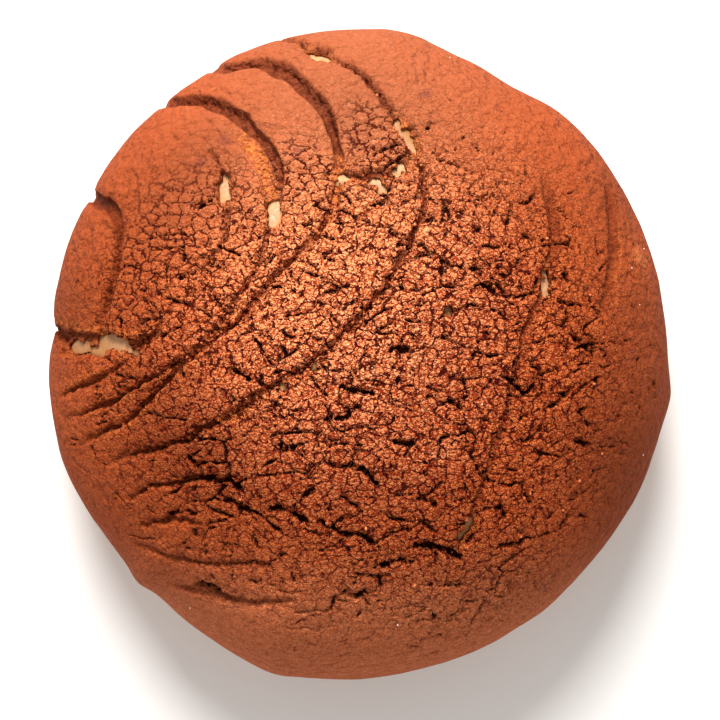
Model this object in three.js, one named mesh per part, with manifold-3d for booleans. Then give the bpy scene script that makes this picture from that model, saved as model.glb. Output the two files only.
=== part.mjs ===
// A chocolate concha: a domed sweet bread bun under a thin crackled shell of cocoa sugar paste.
// Millimetres, +Z up. The origin is on the floor, in the middle under the bun.
import * as THREE from 'three';
import { mergeVertices } from 'three/addons/utils/BufferGeometryUtils.js';
import Module from 'manifold-3d';

const wasm = await Module();
wasm.setup();

// ---- Driving dimensions ----------------------------------------------------------------------
const MEAN_RADIUS = 55.75; // the bun seen from above, 110 wide and 115 long
const HEIGHT = 48;
const WIDEST_HEIGHT = 15; // the widest line lies this far above the floor
const FOOT_SHARE = 0.84; // radius of the flat foot, as a share of the widest
const DOME_FULLNESS = { across: 2.3, upward: 2.1 }; // exponents; 2 would be an ellipse

const PASTE_THICKNESS = 2.6; // on the crown
const PASTE_RIM_THICKNESS = 1.7; // at its lower edge
const PASTE_THINS_AT = 0.75; // share of the way from the crown to the rim
const PASTE_GAP = 0.3; // between the paste and the bread

// The lower edge of the paste, as a level on the side: 1 is the widest line and 2 is the floor.
const RIM_LEVEL = 1.2;
const RIM_WAVES = [
  { lobes: 3, height: 0.05, peak: 40 },
  { lobes: 7, height: 0.03, peak: 10 },
  { lobes: 11, height: 0.02, peak: 25 },
];

// The outline seen from above: long waves, then single lumps and dents, at angles in degrees.
const OUTLINE_WAVES = [
  { lobes: 1, height: 0.3, peak: 180 },
  { lobes: 2, height: 1.2, peak: 91 },
  { lobes: 3, height: 0.35, peak: 0 },
  { lobes: 4, height: 0.35, peak: 2 },
  { lobes: 5, height: 0.3, peak: -31 },
  { lobes: 7, height: 0.3, peak: -8 },
];
const OUTLINE_LUMPS = [
  { at: 60, spread: 6, height: -0.8 },
  { at: 82, spread: 6, height: 0.8 },
  { at: 176, spread: 4, height: -0.5 },
  { at: 226, spread: 3, height: 0.8 },
  { at: 242, spread: 6, height: -0.6 },
  { at: 255, spread: 4, height: 0.5 },
];

// The shell pattern: grooves pressed in the paste, as routes seen from above, in mm from the middle.
// A route that passes the widest line runs on down the side.
const GROOVES = {
  first_shell: {
    width: 2.4,
    depth: 1.8,
    route: [[-52, 28.5], [-46.5, 27.8], [-42, 25], [-40.6, 19.5], [-42, 11], [-44.5, 2.5]],
  },
  inner_curl: {
    width: 1.6,
    depth: 1.1,
    route: [[-27, 37], [-23.2, 31], [-22, 26], [-24, 16], [-31, 6.5]],
  },
  second_shell: {
    width: 2.6,
    depth: 1.8,
    route: [
      [-39.5, 43], [-34, 43.8], [-27.3, 43.5], [-20, 40], [-13.6, 31], [-15.2, 21],
      [-19, 11], [-26.5, 1.7], [-37, -5.4], [-48.8, -11], [-57.5, -14],
    ],
  },
  third_shell: {
    width: 3.2,
    depth: 2,
    route: [
      [-28.5, 51.5], [-24, 49.8], [-17.7, 50.6], [-11.4, 47.4], [-5.4, 41], [-3.3, 31], [-5.7, 21.6],
      [-12, 15], [-19, 6.7], [-28.2, -0.8], [-38.7, -11], [-46.4, -15], [-55.5, -20],
    ],
  },
  fourth_shell: {
    width: 2.8,
    depth: 1.8,
    route: [
      [-17.5, 57.5], [-12.5, 55.3], [-5, 51.7], [1, 47.3], [6.6, 40], [10.2, 33], [11.2, 26],
      [8.5, 18.3], [2.7, 8.6], [-6.8, -0.5], [-19, -8.7], [-30, -14.8], [-40, -17.5],
    ],
  },
  fifth_shell: {
    width: 1.6,
    depth: 0.9,
    route: [[30.5, 35], [33, 22], [31.2, 11], [28.5, 4], [25.2, -7.5], [21.9, -19.2], [17.3, -32.3]],
  },
  sixth_shell: { width: 1.4, depth: 0.8, route: [[43.4, 31], [43.6, 18], [42.5, 12.5], [41, 5.5]] },
  hinge_upper: { width: 1.8, depth: 1.2, route: [[-57, -8.5], [-51.4, -6.9], [-46.8, -5.1], [-38.5, -0.6]] },
  hinge_middle: {
    width: 1.8,
    depth: 1.2,
    route: [[-48, -26], [-38, -22.9], [-33.6, -21.7], [-23.3, -20.9], [-18.7, -23.5]],
  },
  hinge_lower: { width: 1.6, depth: 1, route: [[-40, -32], [-30.5, -34.9], [-23, -35.7], [-13, -35.2]] },
  last_fold: { width: 2, depth: 1.4, route: [[-33, -39.5], [-27, -40.6], [-22.3, -41.7], [-10, -41.8]] },
  cross_break: { width: 1.6, depth: 1.9, route: [[-4.5, 30.8], [0.5, 30.6], [4.3, 30.6], [8.5, 33.5]] },
  side_break: {
    width: 2,
    depth: 1.6,
    route: [[-57, 7.5], [-52.5, 3.6], [-44, 2.3], [-37, 1.8], [-33.4, 5.2], [-34.6, 8]],
  },
};
const GROOVE_STEP = 3.4; // along a route
const GROOVE_FEWEST_STEPS = 5;
const GROOVE_FADE = 0.18; // share of a route over which each end runs out
const GROOVE_END = { width: 0.5, depth: 0.15 }; // what is left of the groove at its two ends
const GROOVE_FLOOR = { width: 0.45, depth: 0.85 }; // where its floor bends, as shares of half width and depth
const GROOVE_MOUTH = 2; // spread of its walls above the paste, in half widths
const GROOVE_CLEARANCE = 1.5; // how far the cutter stands out of the paste
const SIDE_RUN = 5; // how fast a route that passes the outline goes down the side

// Where the paste tore open and the bread shows: place seen from above, size along and across.
const GAPS = [
  { name: 'side', at: [-47, 1.6], turn: -8, length: 9.5, width: 3.6 },
  { name: 'curl', at: [-22.6, 29], turn: 100, length: 4.6, width: 1.6 },
  { name: 'second', at: [-15, 22.8], turn: 75, length: 4, width: 2.2 },
  { name: 'crown_edge', at: [-7, 51.6], turn: -15, length: 4.2, width: 1.8 },
  { name: 'fourth', at: [8.9, 36.2], turn: -62, length: 7, width: 2 },
  { name: 'break_left', at: [-3.2, 30.6], turn: 0, length: 2, width: 1.6 },
  { name: 'break_right', at: [3.9, 29.4], turn: -35, length: 2.6, width: 1.4 },
  { name: 'fifth', at: [32.3, 12.5], turn: 78, length: 5, width: 1.4 },
  { name: 'low', at: [18.8, -30.4], turn: 60, length: 4.6, width: 1.3 },
];
const GAP_DEPTH = 4; // past the paste, into the space of the bread
const GAP_FACETS = { round: 10, high: 6 };

// Facets
const ANGLE_STEPS = 64;
const OUTER_RINGS = 17;
const INNER_RINGS = 12;
const FLANK_RINGS = 5;
const BASE_RINGS = 2;
const NORMAL_STEP = 0.004; // step in angle and level over which a normal is measured
const MERGE_DISTANCE = 1e-4;

const COLOURS = { paste: 0x9c5230, bread: 0xe2b878 };

// ---- The outer form --------------------------------------------------------------------------
const radians = THREE.MathUtils.degToRad;
const { lerp, smoothstep } = THREE.MathUtils;

function waves(list, angle) {
  return list.reduce((sum, w) => sum + w.height * Math.cos(w.lobes * (angle - radians(w.peak))), 0);
}

function lumps(angle) {
  return OUTLINE_LUMPS.reduce((sum, lump) => {
    const away = Math.atan2(Math.sin(angle - radians(lump.at)), Math.cos(angle - radians(lump.at)));
    return sum + lump.height * Math.exp(-((away / radians(lump.spread)) ** 2));
  }, 0);
}

function outlineRadius(angle) {
  return MEAN_RADIUS + waves(OUTLINE_WAVES, angle) + lumps(angle);
}

// Share of the outline's radius and height at a level: 0 is the crown, 1 the widest line, 2 the floor.
function profile(level) {
  const turn = (Math.min(level, 2) * Math.PI) / 2;
  if (level <= 1) {
    const share = Math.sin(turn) ** (2 / DOME_FULLNESS.across);
    const rise = Math.max(Math.cos(turn), 0) ** (2 / DOME_FULLNESS.upward);
    return { share, height: WIDEST_HEIGHT + (HEIGHT - WIDEST_HEIGHT) * rise };
  }
  const share = FOOT_SHARE + (1 - FOOT_SHARE) * Math.sin(turn);
  return { share, height: WIDEST_HEIGHT * (1 + Math.cos(turn)) };
}

function formPoint(angle, level) {
  const { share, height } = profile(level);
  const radius = share * outlineRadius(angle);
  return new THREE.Vector3(radius * Math.cos(angle), radius * Math.sin(angle), height);
}

function formNormal(angle, level) {
  if (level === 0) {
    return new THREE.Vector3(0, 0, 1);
  }
  const place = THREE.MathUtils.clamp(level, 2 * NORMAL_STEP, 2 - 2 * NORMAL_STEP);
  const down = formPoint(angle, place + NORMAL_STEP).sub(formPoint(angle, place - NORMAL_STEP));
  const round = formPoint(angle + NORMAL_STEP, place).sub(formPoint(angle - NORMAL_STEP, place));
  return down.cross(round).normalize();
}

// A point at some depth under the form, square to it.
function pointUnder(angle, level, depth) {
  return formPoint(angle, level).addScaledVector(formNormal(angle, level), -depth);
}

// The angle and level of a point seen from above; past the widest line it runs down the side.
function seenFromAbove([x, y]) {
  const angle = Math.atan2(y, x);
  const share = Math.hypot(x, y) / outlineRadius(angle);
  const onDome = share < 1;
  const level = onDome
    ? (2 / Math.PI) * Math.asin(share ** (DOME_FULLNESS.across / 2))
    : 1 + (share - 1) * SIDE_RUN;
  return { angle, level };
}

function rimLevel(angle) {
  return RIM_LEVEL + waves(RIM_WAVES, angle);
}

function pasteThickness(shareOfWay) {
  return lerp(PASTE_THICKNESS, PASTE_RIM_THICKNESS, smoothstep(shareOfWay, PASTE_THINS_AT, 1));
}

// ---- Closed bodies ---------------------------------------------------------------------------
// A body of revolution whose rings are then moved to their places: place(angle, ring) gives each point.
// Ring 0 is the start of the outer face, and the rows of the lathe run the other way.
function ringBody(ringCount, place) {
  const blank = Array.from({ length: ringCount }, (_, row) => new THREE.Vector2(1, row));
  const geometry = new THREE.LatheGeometry(blank, ANGLE_STEPS);
  const position = geometry.attributes.position;
  for (let step = 0; step <= ANGLE_STEPS; step += 1) {
    const angle = ((step % ANGLE_STEPS) / ANGLE_STEPS) * 2 * Math.PI;
    for (let row = 0; row < ringCount; row += 1) {
      const point = place(angle, ringCount - 1 - row);
      position.setXYZ(step * ringCount + row, point.x, point.y, point.z);
    }
  }
  return geometry;
}

function toSolid(geometry) {
  const bare = geometry.clone();
  bare.deleteAttribute('normal');
  bare.deleteAttribute('uv');
  const merged = mergeVertices(bare, MERGE_DISTANCE);
  return new wasm.Manifold(
    new wasm.Mesh({
      numProp: 3,
      vertProperties: merged.attributes.position.array,
      triVerts: new Uint32Array(merged.index.array),
    }),
  );
}

function toGeometry(solid) {
  const mesh = solid.getMesh();
  const geometry = new THREE.BufferGeometry();
  geometry.setAttribute('position', new THREE.BufferAttribute(new Float32Array(mesh.vertProperties), 3));
  geometry.setIndex(new THREE.BufferAttribute(new Uint32Array(mesh.triVerts), 1));
  geometry.computeVertexNormals();
  return geometry;
}

// The bread follows the inner face of the paste, then its own side down to the flat foot.
function breadGeometry() {
  const flankStart = INNER_RINGS;
  const baseStart = flankStart + FLANK_RINGS;
  const ringCount = baseStart + BASE_RINGS + 1;
  return ringBody(ringCount, (angle, ring) => {
    if (ring <= flankStart) {
      const way = ring / flankStart;
      return pointUnder(angle, way * rimLevel(angle), pasteThickness(way) + PASTE_GAP);
    }
    if (ring <= baseStart) {
      const way = (ring - flankStart) / FLANK_RINGS;
      const depth = lerp(PASTE_RIM_THICKNESS + PASTE_GAP, 0, way);
      return pointUnder(angle, lerp(rimLevel(angle), 2, way), depth);
    }
    const inward = 1 - (ring - baseStart) / BASE_RINGS;
    return formPoint(angle, 2).multiplyScalar(inward).setZ(0);
  });
}

// The paste shell: down the outer face from the crown, round the rim, and back up the inner face.
function shellGeometry() {
  const ringCount = OUTER_RINGS + 1 + INNER_RINGS + 1;
  return ringBody(ringCount, (angle, ring) => {
    if (ring <= OUTER_RINGS) {
      const way = ring / OUTER_RINGS;
      return pointUnder(angle, way * rimLevel(angle), 0);
    }
    const way = 1 - (ring - OUTER_RINGS - 1) / INNER_RINGS;
    return pointUnder(angle, way * rimLevel(angle), pasteThickness(way));
  });
}

// ---- Cutters ---------------------------------------------------------------------------------
// A closed sweep through rings of points, each ring joined to the next and both ends capped.
function sweptGeometry(rings) {
  const sides = rings[0].length;
  const positions = rings.flat().flatMap((point) => [point.x, point.y, point.z]);
  const index = [];
  for (let ring = 0; ring + 1 < rings.length; ring += 1) {
    for (let side = 0; side < sides; side += 1) {
      const next = (side + 1) % sides;
      const [a, b] = [ring * sides + side, ring * sides + next];
      index.push(a, a + sides, b, b, a + sides, b + sides);
    }
  }
  const last = (rings.length - 1) * sides;
  for (let side = 1; side + 1 < sides; side += 1) {
    index.push(0, side, side + 1, last, last + side + 1, last + side);
  }
  const geometry = new THREE.BufferGeometry();
  geometry.setAttribute('position', new THREE.Float32BufferAttribute(positions, 3));
  geometry.setIndex(index);
  return geometry;
}

// The surface frame where a route passes: its point, the way out of the bun, and the way to its left.
function frameAt(curve, share) {
  const here = curve.getPointAt(share);
  const { angle, level } = seenFromAbove([here.x, here.y]);
  const out = formNormal(angle, level);
  const along = curve.getTangentAt(share);
  const left = new THREE.Vector3().crossVectors(out, along).normalize();
  return { point: formPoint(angle, level), out, left };
}

function grooveCutter({ width, depth, route }) {
  const curve = new THREE.CatmullRomCurve3(
    route.map((xy) => {
      const { angle, level } = seenFromAbove(xy);
      return formPoint(angle, level).setX(xy[0]).setY(xy[1]);
    }),
  );
  const steps = Math.max(GROOVE_FEWEST_STEPS, Math.round(curve.getLength() / GROOVE_STEP));
  const rings = [];
  for (let step = 0; step <= steps; step += 1) {
    const share = step / steps;
    const fade = Math.min(smoothstep(share, 0, GROOVE_FADE), smoothstep(1 - share, 0, GROOVE_FADE));
    const { point, out, left } = frameAt(curve, share);
    const half = (width / 2) * lerp(GROOVE_END.width, 1, fade);
    const bottom = -depth * lerp(GROOVE_END.depth, 1, fade);
    const section = [
      [half * GROOVE_MOUTH, GROOVE_CLEARANCE],
      [half * GROOVE_FLOOR.width, bottom * GROOVE_FLOOR.depth],
      [0, bottom],
      [-half * GROOVE_FLOOR.width, bottom * GROOVE_FLOOR.depth],
      [-half * GROOVE_MOUTH, GROOVE_CLEARANCE],
    ];
    const placed = ([side, up]) => point.clone().addScaledVector(left, side).addScaledVector(out, up);
    rings.push(section.map(placed));
  }
  return toSolid(sweptGeometry(rings));
}

function gapCutter({ at, turn, length, width }) {
  const { angle, level } = seenFromAbove(at);
  const out = formNormal(angle, level);
  const heading = new THREE.Vector3(Math.cos(radians(turn)), Math.sin(radians(turn)), 0);
  const along = heading.projectOnPlane(out).normalize();
  const left = new THREE.Vector3().crossVectors(out, along);
  const geometry = new THREE.SphereGeometry(1, GAP_FACETS.round, GAP_FACETS.high);
  geometry.scale(length / 2, width / 2, GAP_DEPTH);
  geometry.applyMatrix4(new THREE.Matrix4().makeBasis(along, left, out));
  geometry.translate(...formPoint(angle, level).toArray());
  return toSolid(geometry);
}

// ---- The two pieces --------------------------------------------------------------------------
function chocolateTopping() {
  let solid = toSolid(shellGeometry());
  for (const groove of Object.values(GROOVES)) {
    solid = solid.subtract(grooveCutter(groove));
  }
  for (const gap of GAPS) {
    solid = solid.subtract(gapCutter(gap));
  }
  return toGeometry(solid);
}

function piece(name, geometry, colour, roughness) {
  const material = new THREE.MeshStandardMaterial({ color: colour, roughness, metalness: 0 });
  const mesh = new THREE.Mesh(geometry, material);
  mesh.name = name;
  return mesh;
}

const concha = new THREE.Group();
concha.name = 'chocolate_concha';
concha.add(piece('bread_bun', toGeometry(toSolid(breadGeometry())), COLOURS.bread, 0.75));
concha.add(piece('chocolate_topping', chocolateTopping(), COLOURS.paste, 0.9));

export default concha;
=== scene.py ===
"""A chocolate concha: a domed sweet bread bun under a crackled shell of cocoa sugar paste.

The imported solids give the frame. This script makes the bread and the paste as fine meshes on the same
form, from the same sizes, and adds the loose crumbs and grains of sugar. Then it gives each piece its
material, and makes the floor, the lamps and the camera.
"""
import math
from itertools import product

import bmesh
import bpy
import numpy as np
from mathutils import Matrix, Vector
from mathutils.bvhtree import BVHTree
from mathutils.kdtree import KDTree


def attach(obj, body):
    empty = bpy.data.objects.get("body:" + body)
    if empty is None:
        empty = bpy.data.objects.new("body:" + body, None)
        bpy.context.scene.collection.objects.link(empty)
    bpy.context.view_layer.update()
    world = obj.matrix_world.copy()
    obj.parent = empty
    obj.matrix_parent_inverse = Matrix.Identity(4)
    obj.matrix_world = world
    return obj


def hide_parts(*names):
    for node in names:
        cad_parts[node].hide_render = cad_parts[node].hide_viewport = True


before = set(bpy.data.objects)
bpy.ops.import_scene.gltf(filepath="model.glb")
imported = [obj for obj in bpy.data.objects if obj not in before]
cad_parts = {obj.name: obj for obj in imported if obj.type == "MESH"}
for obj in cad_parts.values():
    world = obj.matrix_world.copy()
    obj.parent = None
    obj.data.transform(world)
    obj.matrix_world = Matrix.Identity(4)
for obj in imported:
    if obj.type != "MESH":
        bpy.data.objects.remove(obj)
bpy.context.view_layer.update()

MM = 0.001  # sizes below are in millimetres

# ---- The form, as in the solids --------------------------------------------------------------
MEAN_RADIUS = 55.75
HEIGHT = 48.0
WIDEST_HEIGHT = 15.0
FOOT_SHARE = 0.84
FULLNESS_ACROSS = 2.3
FULLNESS_UPWARD = 2.1

PASTE_THICKNESS = 2.6
PASTE_RIM_THICKNESS = 1.7
PASTE_THINS_AT = 0.75
PASTE_GAP = 0.3
SWELL = 1.2  # how far the bread pushes up into the tears

RIM_LEVEL = 1.2
LUMPS_END = (1.9, 1.25)  # the outline's lumps fade out between these levels, from the floor up
# (lobes, height, angle of the peak in degrees)
RIM_WAVES = [(3, 0.05, 40), (7, 0.03, 10), (11, 0.02, 25)]
OUTLINE_WAVES = [(1, 0.3, 180), (2, 1.2, 91), (3, 0.35, 0), (4, 0.35, 2), (5, 0.3, -31), (7, 0.3, -8)]
# (angle in degrees, spread in degrees, height)
OUTLINE_LUMPS = [
    (60, 6, -0.8), (82, 6, 0.8), (176, 4, -0.5), (226, 3, 0.8), (242, 6, -0.6), (255, 4, 0.5),
]

# ---- The shell pattern -----------------------------------------------------------------------
# Each groove: its route seen from above, then its half width, depth and lean, evenly spread along the
# route. A lean over 0 makes the wall on the left of the route the broader one. A torn one is ragged.
# Start is the share of the route over which it deepens.
GROOVES = {
    "first_shell": dict(
        route=[(-52, 28.5), (-46.5, 27.8), (-42, 25), (-40.6, 19.5), (-42, 11), (-44.5, 2.5)],
        width=(1.5, 1.3, 1.2), depth=(2, 1.9, 1.5), lean=(0.3, -0.4, -0.5), start=0.36),
    "inner_curl": dict(
        route=[(-27, 37), (-23.2, 31), (-22, 26), (-24, 16), (-31, 6.5)], torn=True,
        width=(0.4, 0.6, 0.4), depth=(0.7, 1.3, 0.3)),
    "second_shell": dict(
        route=[(-39.5, 43), (-34, 43.8), (-27.3, 43.5), (-20, 40), (-13.6, 31), (-15.2, 21),
               (-19, 11), (-26.5, 1.7), (-37, -5.4), (-45, -9.2), (-50.5, -11.2)],
        width=(1.6, 1.6, 1.5, 1.2, 0.7, 0.65, 0.6, 0.6, 0.6), depth=(2.1, 2.2, 1.6, 1.6, 1.5),
        lean=(0.4, 0.3, 0, -0.3, -0.3)),
    "third_shell": dict(
        route=[(-28.5, 51.5), (-24, 49.8), (-17.7, 50.6), (-11.4, 47.4), (-5.4, 41), (-3.3, 31),
               (-5.7, 21.6), (-12, 15), (-19, 6.7), (-28.2, -0.8), (-38.7, -11), (-44.4, -14),
               (-48.8, -16.4)],
        width=(1.8, 1.8, 1.7, 1.1, 0.75, 0.7, 0.65, 0.6, 0.6), depth=(2.3, 2.3, 1.9, 1.7, 1.5),
        lean=(0.4, 0.2, -0.2, -0.4, -0.3)),
    "fourth_shell": dict(
        route=[(-17.5, 57.5), (-12.5, 55.3), (-5, 51.7), (1, 47.3), (6.6, 40), (10.2, 33), (11.2, 26),
               (8.5, 18.3), (2.7, 8.6), (-6.8, -0.5), (-19, -8.7), (-30, -14.8), (-40, -17.5),
               (-44, -18.6)],
        width=(0.8, 0.9, 0.65, 0.65, 0.75), depth=(1.2, 2, 1.8, 1.8, 2.1),
        lean=(0, 0, -0.2, -0.4, -0.2), torn=True),
    "fifth_shell": dict(
        route=[(30.5, 35), (33, 22), (31.2, 11), (28.5, 4), (25.2, -7.5), (21.9, -19.2), (17.3, -32.3)],
        width=(1.5, 1, 0.8), depth=(0.9, 1.1, 0.8)),
    "sixth_shell": dict(
        route=[(43.4, 31), (43.6, 18), (42.5, 12.5), (41, 5.5)],
        width=(1.5, 1.3, 1), depth=(0.8, 1, 0.7)),
    "hinge_upper": dict(
        route=[(-52, -7.2), (-50, -6.4), (-46.2, -4.9), (-38.5, -0.6)],
        width=(0.6, 0.6, 0.5), depth=(1, 1.4, 0.9)),
    "hinge_middle": dict(
        route=[(-40, -24.8), (-37, -23.2), (-33.6, -21.9), (-23.3, -20.9), (-18.7, -23.5)],
        width=(0.6, 0.65, 0.5), depth=(1.2, 1.7, 1.2)),
    "hinge_lower": dict(
        route=[(-40, -32), (-30.5, -34.9), (-23, -35.7), (-13, -35.2)],
        width=(0.7, 0.6, 0.5), depth=(0.6, 1.1, 0.8)),
    "hinge_short": dict(
        route=[(-38, -29.2), (-34, -28.3), (-29.5, -28.2), (-26, -28.9)],
        width=(0.5, 0.6, 0.4), depth=(0.8, 1.3, 0.8)),
    "last_fold": dict(
        route=[(-33, -39.5), (-27, -40.6), (-22.3, -41.7), (-10, -41.8)],
        width=(0.8, 0.9, 0.7), depth=(0.8, 1.3, 0.6)),
    "cross_break": dict(
        route=[(-4.5, 30.8), (0.5, 30.6), (4.3, 30.6), (8.5, 33.5)], torn=True,
        width=(0.8, 0.9, 0.8), depth=(1.9, 2.2, 2), lean=(-0.3, -0.3, -0.3)),
    "side_break": dict(
        route=[(-57, 7.5), (-52.5, 3.6), (-44, 2.3), (-37, 1.8), (-33.4, 5.2), (-34.6, 8)], torn=True,
        width=(1.2, 1.4, 0.7), depth=(1.8, 2.2, 1.4), start=0.30),
}
# Stretched, thin and golden stretches of paste: route, half width, depth
STRETCHES = [
    ([(-20.5, 38.5), (-16.3, 31.8), (-14.6, 26.2), (-14.2, 22)], 1.5, 1.2),
    ([(-3.9, 35.5), (-3.4, 31), (-4.2, 25.5), (-6.5, 20.5)], 1.1, 1.5),
    ([(6, 40.5), (8.3, 37), (10.4, 33)], 1.2, 1.6),
    ([(-41.2, 22.5), (-40.9, 17.5), (-42, 11.5)], 0.5, 1.5),
    ([(-3.6, 29.8), (0.5, 29.6), (4, 28.9)], 0.5, 1.7),
    ([(-24.2, -11), (-21.5, -10.4), (-18.5, -9.2)], 1.2, 1.2),
    ([(19.5, -28), (18.6, -30), (17.3, -32.3)], 0.6, 1.2),
]
# The crackle between the long cracks: cell size, half width of an open crack, its depth, the share of
# the cracks that are open, and the height of the lump in each cell
CRACK_LAYERS = [
    dict(zone="bold", size=4.6, half=0.15, depth=1, open=0.50, lump=0.015, seed=51),
    dict(zone="fine", size=2.1, half=0.12, depth=0.6, open=0.27, lump=0.008, seed=54),
]
# How crisp the paste's grain and crackle are, by the distance from the crispest place
SHARPNESS = ((0, 12, 28, 40, 50, 60), (1, 1, 0.68, 0.42, 0.24, 0.18))
CRISPEST = (12, -2)
# Smooth petals: middle, the radius where they end and the radius within which they are calmest
CALM_UPPER_LEFT, CALM_TOP = ((-36, 45), 27, 15), ((-10, 52), 26, 12)
LIGHT_PEAK, LEAST_RED = (-5, 8), (-2, 12)  # where the painted light on the paste is brightest, and where it is least red
# Low swells all over the paste: height, size, seed
SWELLS = [(0.30, 17, 31), (0.12, 6, 32), (0.04, 2.2, 33)]
# Places where the rim is a little slimmer or fuller: angle and spread in degrees, height
RIM_TRIMS = [
    (10, 7, -0.35), (97, 9, -0.5), (121, 4, -0.6), (130, 5, -0.5), (165, 3, -0.5), (193, 6, -0.6),
    (232, 6, -0.6), (270, 7, 0.25), (300, 4, -0.4), (342, 4, -0.3), (352, 4, 0.45),
]
# Oval spots: middle, length, width, turn in degrees. First the dark purplish stains
STAINS = [
    ((11.2, 44.7), 3.6, 1.6, 20), ((-9.9, 34.1), 3.4, 1.5, -20), ((-1.2, 36.4), 2.2, 1.2, 10),
    ((-22.7, 36.4), 3.2, 1.6, -30), ((-27, 33), 2, 1.2, 40),
]
# Where the paste that is otherwise calm broke into soft crumbly lumps
CRUMBLY = [((-29, 15), 46, 34, 80), ((-9, 30), 20, 13, -50), ((3, 37), 18, 14, -50)]
# Where its pale grains lie loose
LOOSE_GRAINS = [((13.8, -15.8), 7.5, 5.5, 30), ((48.5, 17), 6, 3, -60)]
# Where the bread in the tears is tan and darker
TAN_BREAD = [
    ((8, 38.2), 9, 6, -66), ((-47, 1.2), 17, 8, 0), ((15.1, 7), 4, 3, 0),
    ((-9.5, -3.2), 9, 3, 30), ((18.2, -30), 6, 4, 62),
]
# Where the paste is darker or paler than around it: middle, radius, change
TONE_SPOTS = [
    ((-30, -10), 16, -0.10), ((-26, 27), 13, -0.09), ((-2, 35), 9, -0.11), ((21.4, -19), 12, 0.13),
    ((-50, 8), 8, -0.12), ((30, 17), 8, 0.09), ((30, -1), 9, 0.12), ((12.5, 26), 8, 0.10),
    ((48, 17), 7, 0.14), ((12.5, -1), 8, -0.12), ((-25, -12), 11, -0.10), ((39, -18), 10, -0.10),
]

# Where the paste tore open and the bread shows: middle, turn in degrees, length, width and taper
GAPS = [
    ((-49, 1.5), 12, 4.4, 2.8, 0),
    ((-45.8, 0.7), -10, 3.4, 1.6, 0),
    ((-42.4, 2), -8, 6.4, 3, 0.2),
    ((-39.4, 0.9), -20, 3.2, 1.1, 0.5),
    ((-22.8, 28.8), 282, 5.2, 1.9, -0.5),
    ((-14.5, 23.2), 258, 5.2, 2.1, 0.4),
    ((-24.3, 15.9), 50, 1.9, 1, 0),
    ((-6.8, 52), -25, 4.9, 1.5, 0),
    ((6.8, 40.2), -70, 3.4, 0.8, -0.5),
    ((8.7, 36.4), -64, 4.6, 1.6, 0.1),
    ((7.3, 31.6), 52, 3.4, 1.4, 0.3),
    ((3.4, 28.5), -42, 3, 1.6, 0.3),
    ((-2.8, 29.7), -5, 3.2, 0.9, 0.3),
    ((31.7, 12.3), 84, 5.2, 1.4, 0.2),
    ((18.2, -30), 62, 4.6, 0.9, 0),
    ((15.1, 6.8), 90, 1.4, 0.45, 0),
    ((-7.6, -1.9), 30, 3, 0.9, 0),
    ((-12.3, -5), 36, 1.8, 0.8, 0),
    ((-8.3, 18.9), 50, 1.2, 0.6, 0),
]

# Loose crumbs: single ones, and how many lie along which routes. Then the single grains of sugar
PLACED_CRUMBS = [
    (-17.6, 17.4), (-17, 18.6), (-10.4, 16.4), (-6.9, 20.3), (-18.2, 16.2), (-5.2, 24.6), (9.4, 31.2),
    (5.5, 29.4), (1.6, 28.6), (-22.4, 27), (-14, 20.9), (-26, 3.4), (-12.2, -3.6), (31.9, 9.6),
]
CRUMB_LINES = [
    ([(-5.2, 24), (-12, 15), (-19, 6.7), (-28.2, -0.8)], 34),
    ([(-14.6, 24), (-15.2, 21), (-19, 11), (-26.5, 1.7)], 26),
    ([(8.5, 18.3), (2.7, 8.6), (-6.8, -0.5), (-19, -8.7), (-30, -14.8)], 30),
    ([(3.5, 44), (6.6, 40), (10.2, 33), (11.2, 26)], 16),
    ([(-3, 29.4), (2, 28.8), (6.5, 31)], 14),
    ([(-17.5, 34), (-14.6, 27)], 10),
]
FIELD_CRUMBS, FIELD_MIDDLE, FIELD_RADIUS = 70, (8, -4), 38  # scattered over the open field
OFF_LINE = 0.7  # how far crumbs stray from their route
CRUMB_SIZES, SUGAR_SIZES = (0.14, 0.32), (0.10, 0.17)  # smallest and largest radius
SUGAR_GRAINS = [
    (15.8, 51.6), (20.5, -8.3), (6.6, -45.9), (49.1, -17.3), (46.8, 14.9), (48.1, 8.6), (-29.1, -43.6),
    (49.4, 18.4), (37.5, 30.2), (-8.4, 9), (2.2, -2.2),
]

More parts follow.
